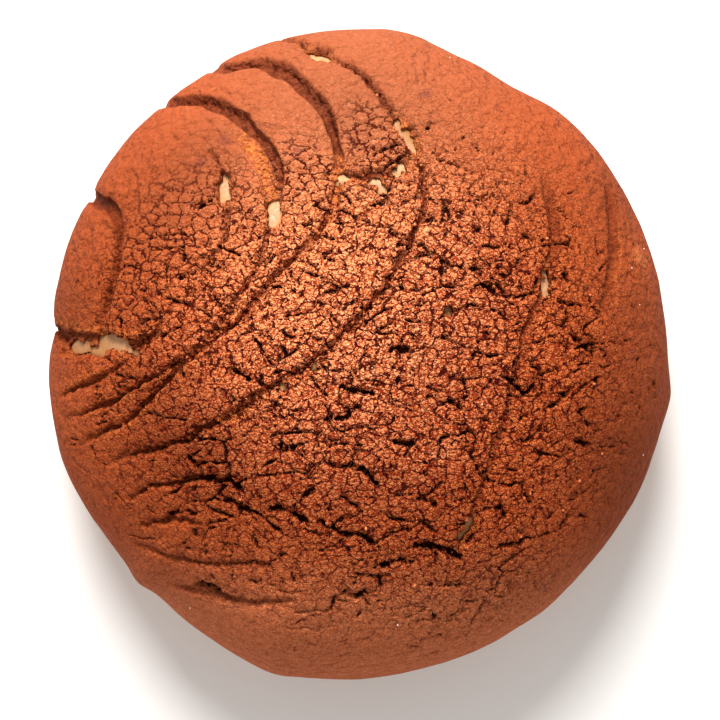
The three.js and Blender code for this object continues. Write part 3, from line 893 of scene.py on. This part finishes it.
def write_bake_map(thing, square, outward, past_rim):
    """A flat map to bake on: the outer face over most of the square, the face on the bread in a corner."""
    mesh = thing.data
    corners = np.empty(len(mesh.loops), np.int32)
    mesh.loops.foreach_get("vertex_index", corners)
    starts, sizes = np.empty((2, len(mesh.polygons)), np.int32)
    mesh.polygons.foreach_get("loop_start", starts)
    mesh.polygons.foreach_get("loop_total", sizes)
    normals = np.empty(len(mesh.polygons) * 3, np.float32)
    mesh.polygons.foreach_get("normal", normals)
    facing_out = (normals.reshape(-1, 3) * outward[corners[starts]]).sum(1)
    on_bread = np.repeat(facing_out < FACES_BREAD, sizes)[:, None]
    spread = (square * (1 + past_rim / EDGE_LENGTH)[:, None])[corners]
    seen, covered = (middle + half * spread for middle, half in (OUTER_PLACE, BREAD_PLACE))
    place = np.where(on_bread, covered, seen)
    mesh.uv_layers.new(name="OFBake").data.foreach_set("uv", place.astype(np.float32).ravel())


def make_topping():
    skin = dome_skin()
    relief, marks = paste_relief(skin)
    block = paste_block(skin, relief)
    rings = bread_rings(PASTE_GAP - CORE_OVERSIZE, *CORE_RINGS, lambda points, low: bread_swell(points))
    cut_through(block, ring_body("core", CORE_STEPS, rings), TOPPING_FACES)
    outer = skin["points"] + skin["normals"] * relief[:, None]
    source, apart = nearest_skin(block, outer)
    write_marks(block, {name: values[source] for name, values in marks.items()})
    past_rim = np.where(skin["way"][source] > 0.98, apart, 0)
    square = place_in_square(skin, source, vertex_points(block) - outer[source])
    write_bake_map(block, square, skin["normals"][source], past_rim)
    block.data.shade_smooth()
    return block


def crust(points, low):
    """How far the bread's own face stands out. Low is 0 under the paste and 1 at the foot."""
    swell = bread_swell(points) * (low == 0)
    return swell + 0.06 * noise(points, 1.3, 71) + 0.25 * low * noise(points, 9, 72) - 0.05


def make_bread():
    bread = ring_body("bread_bun", BREAD_STEPS, bread_rings(PASTE_GAP, *BREAD_RINGS, crust))
    bread.data.shade_smooth()
    points = vertex_points(bread)
    angle = np.arctan2(points[:, 1], points[:, 0])
    band = form_point(angle, rim_level(angle))[:, 2] - points[:, 2]
    outer = form_point(angle, seen_from_above(points[:, 0], points[:, 1])[1])
    edge = np.min([outside_gap(outer, *gap) for gap in GAPS], axis=0)
    foot, torn_edge = ramp(points[:, 2], 2.6, 0.2), ramp(edge, -0.7, 0.1)
    marks = {"below_rim": band, "foot": foot, "torn_edge": torn_edge, "tan": spots(outer, TAN_BREAD)}
    write_marks(bread, marks)
    return bread


def crumb_places(chance):
    """Where the loose crumbs lie, seen from above: along the grooves, and a few over the open field."""
    places = list(PLACED_CRUMBS)
    for route, count in CRUMB_LINES:
        line = smooth_route(route)
        picked = chance.integers(0, len(line), count)
        places += [tuple(line[i][:2] + chance.normal(0, OFF_LINE, 2)) for i in picked]
    turn = chance.uniform(0, 2 * math.pi, FIELD_CRUMBS)
    reach = FIELD_RADIUS * np.sqrt(chance.uniform(0, 1, FIELD_CRUMBS))
    x, y = FIELD_MIDDLE
    return places + list(zip(x + reach * np.cos(turn), y + reach * np.sin(turn)))


LUMP_LIFT = 0.45  # a lump's middle above the paste, as a share of its radius


def make_lumps(name, topping, places, sizes, chance):
    """One mesh of small uneven lumps that lie on the paste at places seen from above."""
    tree = BVHTree.FromObject(topping, bpy.context.evaluated_depsgraph_get())
    ball = bmesh.new()
    bmesh.ops.create_icosphere(ball, subdivisions=2, radius=1.0)
    form = np.array([tuple(corner.co) for corner in ball.verts])
    faces = np.array([[corner.index for corner in face.verts] for face in ball.faces])
    points, every_face = [], []
    for x, y in places:
        hit, normal = tree.ray_cast(Vector((x, y, 2 * HEIGHT)) * MM, Vector((0, 0, -1)))[:2]
        if hit is None:  # a tear, with no paste to lie on
            continue
        radius = chance.uniform(*sizes)
        stretch = chance.uniform(0.7, 1.2, 3)
        uneven = 1 + 0.12 * chance.normal(size=(len(form), 1))
        every_face.append(faces + len(form) * len(points))
        lifted = np.array(hit) / MM + np.array(normal) * radius * LUMP_LIFT
        points.append(form * stretch * uneven * radius + lifted)
    ball.free()
    return new_mesh(name, np.vstack(points), np.vstack(every_face))


# ---- Materials -------------------------------------------------------------------------------
GRAIN = 0.38  # size of the paste's grains
NET_SIZE, FINE_NET_SIZE = 2.1, 0.95  # cells between the fine cracks
# The paste: the painted shade between its grains, the grains where it is calm and where it is crisp, and
# the palest, partly a painted highlight on the grain tops
GRAIN_SHADE_COLOUR = (0.27, 0.022, 0.002)
CALM_COLOUR, CRISP_COLOUR, PALE_GRAIN_AND_HIGHLIGHT_COLOUR = (0.56, 0.157, 0.065), (0.80, 0.248, 0.093), (0.93, 0.37, 0.18)
# The painted shade on the groove floors, and the golden fringe round the tears
GROOVE_SHADE_COLOUR, FRINGE_COLOUR = (0.095, 0.014, 0.004), (0.60, 0.18, 0.05)
# The gold of stretched paste, also used for the painted highlight on the groove lips
GOLD_AND_HIGHLIGHT_DARK, GOLD_AND_HIGHLIGHT_PALE = (0.54, 0.12, 0.022), (0.80, 0.25, 0.055)
DIMPLE_COLOUR, STAIN_COLOUR = (0.19, 0.026, 0.006), (0.14, 0.035, 0.03)
# Painted shade in the cracks: the coarse net, the crumbly net, the fine net and the open cracks
COARSE_CRACK_SHADE, CRUMBLY_CRACK_SHADE = (0.045, 0.001, 0.0002), (0.08, 0.008, 0.0015)
FINE_CRACK_SHADE, OPEN_CRACK_SHADE = (0.20, 0.012, 0.001), (0.020, 0.0006, 0.0002)
DARK_CRUMB, PALE_CRUMB = (0.38, 0.075, 0.022), (0.68, 0.21, 0.075)
DARK_SUGAR, PALE_SUGAR = (0.62, 0.36, 0.24), (0.95, 0.82, 0.70)
# The bread: its inside, the edge of a tear, the baked inside, the crust and the foot
DARK_INSIDE, PALE_INSIDE = (0.47, 0.245, 0.125), (0.63, 0.395, 0.225)
TORN_EDGE_COLOUR, TAN_COLOUR = (0.60, 0.27, 0.09), (0.34, 0.145, 0.045)
DARK_CRUST, PALE_CRUST = (0.50, 0.23, 0.075), (0.68, 0.38, 0.15)
DARK_FOOT, PALE_FOOT = (0.20, 0.072, 0.022), (0.36, 0.155, 0.05)
DARK_FLOOR, PALE_FLOOR = (0.86, 0.86, 0.86), (0.88, 0.88, 0.88)


class Recipe:
    """A material's nodes, added one at a time. A value is a number, a colour or another node's output."""

    def __init__(self, name):
        self.material = bpy.data.materials.new(name)
        self.material.use_nodes = True
        self.tree = self.material.node_tree
        self.tree.nodes.clear()
        output = self.node("OutputMaterial", {})
        self.shader = self.node("BsdfPrincipled", {})
        self.feed(output, "Surface", self.shader.outputs["BSDF"])

    def node(self, kind, inputs, **settings):
        made = self.tree.nodes.new("ShaderNode" + kind)
        for key, value in settings.items():
            setattr(made, key, value)
        for socket, value in inputs.items():
            self.feed(made, socket, value)
        return made

    def feed(self, node, socket, value):
        if isinstance(value, bpy.types.NodeSocket):
            self.tree.links.new(value, node.inputs[socket])
        else:
            node.inputs[socket].default_value = value

    def surface(self, **values):
        """Feeds the shader. An underscore stands for a space in a socket's name."""
        for socket, value in values.items():
            self.feed(self.shader, socket.replace("_", " "), value)

    def mark(self, name):
        return self.node("Attribute", {}, attribute_name=name).outputs["Fac"]

    def place(self, factor=1000):
        """The place on the piece, in millimetres."""
        where = self.node("TexCoord", {})
        scaled = self.node("Mapping", {}, vector_type="POINT")
        self.feed(scaled, "Scale", (factor, factor, factor))
        self.feed(scaled, "Vector", where.outputs["Object"])
        return scaled.outputs["Vector"]

    def noise(self, place, size, detail=2, roughness=0.5):
        inputs = {"Vector": place, "Scale": 1 / size, "Detail": detail, "Roughness": roughness}
        return self.node("TexNoise", inputs).outputs["Fac"]

    def cells(self, place, size, feature="F1"):
        return self.node("TexVoronoi", {"Vector": place, "Scale": 1 / size}, feature=feature)

    def maths(self, operation, *values):
        return self.node("Math", dict(enumerate(values)), operation=operation).outputs[0]

    def times(self, first, second):
        return self.maths("MULTIPLY", first, second)

    def times_plus(self, first, second, third):
        return self.maths("MULTIPLY_ADD", first, second, third)

    def more(self, value, middle, factor, start):
        """The start, and factor for each 1 that the value lies over its middle."""
        return self.times_plus(self.maths("SUBTRACT", value, middle), factor, start)

    def vector(self, operation, *values):
        return self.node("VectorMath", dict(enumerate(values)), operation=operation).outputs["Vector"]

    def scaled(self, colour, factor):
        return self.node("VectorMath", {0: colour, "Scale": factor}, operation="SCALE").outputs["Vector"]

    def shake(self, place, size, reach):
        """The place, moved up to about reach by smooth noise."""
        shaker = self.node("TexNoise", {"Vector": place, "Scale": 1 / size, "Detail": 1.0})
        centred = self.vector("SUBTRACT", shaker.outputs["Color"], (0.5, 0.5, 0.5))
        return self.vector("MULTIPLY_ADD", centred, (2 * reach,) * 3, place)

    def filtered(self, colour, *factors):
        """The colour with its red, green and blue each multiplied by a factor."""
        parts = self.node("CombineXYZ", dict(enumerate(factors)))
        return self.vector("MULTIPLY", colour, parts.outputs["Vector"])

    def span(self, value, low, high, to_low=0.0, to_high=1.0):
        inputs = {"Value": value, "From Min": low, "From Max": high, "To Min": to_low, "To Max": to_high}
        return self.node("MapRange", inputs, interpolation_type="SMOOTHSTEP").outputs["Result"]

    def blend(self, share, first, second):
        tints = (tint if isinstance(tint, bpy.types.NodeSocket) else (*tint, 1) for tint in (first, second))
        inputs = dict(zip((0, 6, 7), (share, *tints)))
        return self.node("Mix", inputs, data_type="RGBA", blend_type="MIX").outputs[2]

    def bump(self, height, distance):
        return self.node("Bump", {"Height": height, "Distance": distance * MM}).outputs["Normal"]


def crack_net(recipe, place, size, wide, closed, soft):
    """Ragged cracks between cells of a size: 1 along the open ones, and how far cells swell up (0 to 1)."""
    ragged = recipe.shake(recipe.shake(place, 0.9, 0.40), 0.30, 0.18)
    stretched = recipe.vector("MULTIPLY", ragged, (0.86, 1.16, 1.0))
    edge = recipe.cells(stretched, size, "DISTANCE_TO_EDGE").outputs["Distance"]
    swing = recipe.noise(place, 0.36 * size, 2, 0.6)
    swing = recipe.times_plus(soft, -0.10, swing)
    half = recipe.times_plus(recipe.span(swing, closed, closed + 0.28), wide + 0.05, -0.05)
    inside = recipe.times_plus(edge, -size, half)
    fade = recipe.times_plus(recipe.maths("MAXIMUM", soft, 0.2), 0.13, 0.01)
    return recipe.span(inside, recipe.times(fade, -1.0), fade), recipe.span(edge, 0.0, 0.30)


class Paste(Recipe):
    """The cocoa paste. It reads the marks that the relief left on the mesh."""

    def __init__(self, name):
        super().__init__(name)
        self.where = self.place()
        # deep carries the painted shade of the groove floors; the gold mark also carries a painted
        # highlight on the lips
        self.deep, self.glow, self.fringe = self.mark("deep"), self.mark("glow"), self.mark("fringe")
        # The tone paints light and shade over the paste
        self.tone, self.sharp = self.mark("tone"), self.mark("sharp")
        self.soft = self.maths("SUBTRACT", 1.0, self.sharp)
        self.make_grains()
        self.make_cracks()
        colour = self.grain_colour()
        self.surface(Base_Color=self.crack_colour(self.groove_colour(colour)))
        self.surface(Roughness=self.span(self.dust, 0.3, 0.7, 0.80, 0.95), Specular_IOR_Level=0.08)
        self.surface(Normal=self.bump(self.height(), 1.0))

    def by_crispness(self, calm, crisp):
        """One value where the paste is calm, another where it is crisp, and smooth between them."""
        return self.span(self.sharp, 0.2, 0.8, calm, crisp)

    def make_grains(self):
        """Grains, each with its own tone, and the finer dust on them."""
        grains = self.cells(self.shake(self.where, 0.5, 0.15), GRAIN)
        self.grain_top = self.span(grains.outputs["Distance"], 0.68, 0.12)
        self.grain_tone = self.maths("FRACT", self.times(grains.outputs["Color"], 7.0))
        self.dust = self.noise(self.where, 0.22, 2, 0.6)

    def make_cracks(self):
        """Two nets of fine cracks, and the frayed edges of the cracks in the mesh."""
        self.crumbly = self.times(self.mark("crumbly"), self.soft)
        firmness = self.maths("MAXIMUM", self.times_plus(self.mark("crumbly"), -0.9, self.soft), 0.0)
        coarse, self.coarse_dome = crack_net(self, self.where, NET_SIZE, 0.16, 0.31, firmness)
        fine, self.fine_dome = crack_net(self, self.where, FINE_NET_SIZE, 0.095, 0.28, self.soft)
        shown = self.times_plus(self.crumbly, 1.0, self.span(self.sharp, 0.15, 0.75, 0.0, 1.0))
        self.coarse = self.times(coarse, self.maths("MINIMUM", shown, 1.0))
        self.fine = self.times(fine, self.by_crispness(0.0, 1.0))
        frayed = self.times_plus(self.noise(self.where, 0.40, 2, 0.6), 0.7, -0.35)
        self.open_crack = self.span(self.maths("ADD", self.mark("crack"), frayed), -0.05, 0.08)

    def grain_colour(self):
        """From 0 in the gaps between the grains, painted shade, to 1 on the palest tops, partly a painted
        highlight; the tone then paints light and shade, brighter round the crown.
        """
        pale = self.more(self.grain_tone, 0.5, 0.62, 0.15)
        # Paler grain tops are a painted highlight, as the gaps between them get painted shade
        pale = self.more(self.grain_top, 0.6, 0.65, pale)
        pale = self.more(self.dust, 0.5, 1.4, pale)
        pale = self.times(pale, self.sharp)
        blotch = self.by_crispness(0.50, 0.12)
        pale = self.more(self.noise(self.where, 1.1, 3, 0.6), 0.5, blotch, pale)
        pale = self.times_plus(self.mark("loose"), 0.34, pale)
        pale = self.maths("ADD", pale, 0.5)
        middle = self.blend(self.by_crispness(0.0, 1.0), CALM_COLOUR, CRISP_COLOUR)
        colour = self.blend(self.span(pale, 0.0, 0.5), GRAIN_SHADE_COLOUR, middle)
        colour = self.blend(self.span(pale, 0.5, 1.0), colour, PALE_GRAIN_AND_HIGHLIGHT_COLOUR)
        green = self.times_plus(self.mark("ruddy"), -0.33, 1.0)
        blue = self.times_plus(self.mark("ruddy"), -0.58, 1.0)
        return self.filtered(self.scaled(colour, self.tone), 1.0, green, blue)

    def groove_colour(self, colour):
        """The painted shade on the groove floors, and where they are golden: the stretched paste, and a
        painted highlight on the lips.
        """
        band = self.times(self.deep, self.span(self.noise(self.where, 0.9, 3), 0.3, 0.65, 0.95, 0.55))
        colour = self.blend(band, colour, GROOVE_SHADE_COLOUR)
        golden = self.times(self.glow, self.span(self.noise(self.where, 0.8, 3, 0.6), 0.38, 0.60))
        gold = self.blend(self.grain_tone, GOLD_AND_HIGHLIGHT_DARK, GOLD_AND_HIGHLIGHT_PALE)
        colour = self.blend(self.times(golden, 0.85), colour, gold)
        return self.blend(self.times(self.fringe, 0.35), colour, FRINGE_COLOUR)

    def crack_colour(self, colour):
        """The dimples and stains of the calm paste, and the painted shade in the cracks from the finest to
        the widest.
        """
        dimple_place = self.vector("MULTIPLY", self.where, (0.8, 1.25, 1.0))
        dimple = self.span(self.noise(dimple_place, 1.1, 2, 0.6), 0.62, 0.76)
        self.dimple = self.times(dimple, self.span(self.sharp, 0.75, 0.2, 0.0, 0.45))
        colour = self.blend(self.dimple, colour, DIMPLE_COLOUR)
        colour = self.blend(self.times(self.mark("stain"), 0.6), colour, STAIN_COLOUR)
        colour = self.blend(self.times(self.fine, 0.90), colour, FINE_CRACK_SHADE)
        net_colour = self.blend(self.crumbly, COARSE_CRACK_SHADE, CRUMBLY_CRACK_SHADE)
        colour = self.blend(self.times(self.coarse, 0.98), colour, net_colour)
        return self.blend(self.times(self.open_crack, 0.98), colour, OPEN_CRACK_SHADE)

    def height(self):
        """The fine relief, in millimetres."""
        crumb = self.times(self.noise(self.where, 1.5, 2, 0.45), self.by_crispness(1.35, 0.05))
        broad = self.times(self.noise(self.where, 2.6, 2), self.by_crispness(1.2, 0.0))
        crumb = self.maths("ADD", crumb, broad)
        crumb = self.times_plus(self.dimple, -0.15, crumb)
        domes = self.times_plus(self.coarse_dome, 0.05, self.times(self.fine_dome, 0.08))
        crumb = self.times_plus(domes, self.sharp, crumb)
        crumb = self.times_plus(self.times(self.coarse_dome, self.crumbly), 0.45, crumb)
        lumpy = self.times(self.noise(self.where, 0.9, 2, 0.6), self.maths("MAXIMUM", self.deep, self.glow))
        crumb = self.times_plus(lumpy, 0.8, crumb)
        grain = self.times_plus(self.dust, 0.16, self.times(self.grain_top, 0.20))
        height = self.times_plus(grain, self.sharp, crumb)
        height = self.times_plus(self.maths("MAXIMUM", self.coarse, self.fine), -0.15, height)
        return self.times_plus(self.open_crack, -0.35, height)


def bread_material():
    recipe = Recipe("bread")
    place, band = recipe.place(), recipe.mark("below_rim")
    mottle = recipe.noise(place, 7, 4)
    crumb = recipe.noise(place, 0.8, 3, 0.6)
    inside = recipe.blend(recipe.span(crumb, 0.35, 0.65), DARK_INSIDE, PALE_INSIDE)
    inside = recipe.blend(recipe.times(recipe.mark("torn_edge"), 0.6), inside, TORN_EDGE_COLOUR)
    inside = recipe.blend(recipe.times(recipe.mark("tan"), 0.9), inside, TAN_COLOUR)
    crust = recipe.blend(recipe.span(mottle, 0.3, 0.7), DARK_CRUST, PALE_CRUST)
    edge = recipe.maths("ADD", band, recipe.times(mottle, 3.0))
    colour = recipe.blend(recipe.span(edge, -1.5, 4.0), inside, crust)
    foot = recipe.blend(recipe.span(recipe.noise(place, 16, 3), 0.35, 0.65), DARK_FOOT, PALE_FOOT)
    colour = recipe.blend(recipe.times(recipe.mark("foot"), 0.9), colour, foot)
    recipe.surface(Base_Color=colour, Roughness=recipe.span(mottle, 0.3, 0.7, 0.5, 0.7))
    recipe.surface(Specular_IOR_Level=0.35, Normal=recipe.bump(crumb, 0.12))
    return recipe.material


def crumb_material():
    recipe = Recipe("crumb")
    place = recipe.place()
    mottle = recipe.span(recipe.noise(place, 0.9, 3, 0.6), 0.35, 0.65)
    recipe.surface(Base_Color=recipe.blend(mottle, DARK_CRUMB, PALE_CRUMB), Roughness=0.85)
    recipe.surface(Specular_IOR_Level=0.1, Normal=recipe.bump(recipe.noise(place, 0.2, 2), 0.15))
    return recipe.material


def sugar_material():
    recipe = Recipe("sugar")
    mottle = recipe.noise(recipe.place(), 0.3, 2)
    recipe.surface(Base_Color=recipe.blend(mottle, DARK_SUGAR, PALE_SUGAR))
    recipe.surface(Roughness=recipe.span(mottle, 0.3, 0.7, 0.35, 0.6))
    return recipe.material


def dress(thing, material):
    thing.data.materials.clear()
    thing.data.materials.append(material)
    thing.data.polygons.foreach_set("material_index", np.zeros(len(thing.data.polygons), np.int32))


# ---- Stage -----------------------------------------------------------------------------------
FRAME_WIDTH = 127.3  # mm across the picture at the widest line
VIEW_MIDDLE = (0.18, -0.88)
LENS, SENSOR = 150.0, 36.0
FLOOR_HALF = 3000
# (name, place in metres, size, power, colour)
LAMPS = [
    ("key", (-0.12, 0.85, 0.80), 0.6, 26, (1.0, 0.97, 0.93)),
    ("fill", (0.0, -0.6, 0.9), 1.2, 1.4, (1.0, 0.98, 0.96)),
]
LAMPS_AIM = (0, 0, 0.02)
SKY_COLOUR, SKY_STRENGTH = (1, 0.96, 0.92, 1), 0.56


def make_floor():
    corners = [(-1, -1, 0), (1, -1, 0), (1, 1, 0), (-1, 1, 0)]
    floor = new_mesh("floor", np.array(corners, float) * FLOOR_HALF, np.array([[0, 1, 2, 3]]))
    recipe = Recipe("floor")
    tone = recipe.noise(recipe.place(factor=1), 0.4)
    recipe.surface(Base_Color=recipe.blend(tone, DARK_FLOOR, PALE_FLOOR), Roughness=0.9)
    floor.data.materials.append(recipe.material)


def make_lamp(name, place, size, power, colour):
    lamp = bpy.data.lights.new(name, "AREA")
    lamp.shape = "DISK"
    lamp.size = size
    lamp.energy = power
    lamp.color = colour
    made = bpy.data.objects.new(name, lamp)
    made.location = place
    bpy.context.collection.objects.link(made)
    made.rotation_euler = (Vector(LAMPS_AIM) - made.location).to_track_quat("-Z", "Y").to_euler()


def make_light():
    for lamp in LAMPS:
        make_lamp(*lamp)
    world = bpy.data.worlds.new("studio")
    bpy.context.scene.world = world
    world.use_nodes = True
    background = world.node_tree.nodes["Background"]
    background.inputs["Color"].default_value = SKY_COLOUR
    background.inputs["Strength"].default_value = SKY_STRENGTH
    bpy.context.scene.view_settings.view_transform = "Standard"


def make_camera():
    camera = bpy.data.cameras.new("camera")
    camera.lens = LENS
    camera.sensor_width = SENSOR
    made = bpy.data.objects.new("camera", camera)
    distance = LENS / SENSOR * FRAME_WIDTH
    x, y = VIEW_MIDDLE
    made.location = (x * MM, y * MM, (WIDEST_HEIGHT + distance) * MM)
    bpy.context.collection.objects.link(made)
    bpy.context.scene.camera = made


# ---- Everything together ---------------------------------------------------------------------
topping = make_topping()
bread = make_bread()
chance = np.random.default_rng(7)
crumbs = make_lumps("crumbs", topping, crumb_places(chance), CRUMB_SIZES, chance)
sugar = make_lumps("sugar_grains", topping, SUGAR_GRAINS, SUGAR_SIZES, chance)
dress(topping, Paste("cocoa_paste").material)
dress(bread, bread_material())
solids = (topping, "chocolate_topping", "cocoa_paste"), (bread, "bread_bun", "bread")
for piece, node, slot_name in solids:
    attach(piece, "root")
    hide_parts(node)
for piece, material in ((crumbs, crumb_material()), (sugar, sugar_material())):
    dress(piece, material)
    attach(piece, "root")
make_floor()
make_light()
make_camera()
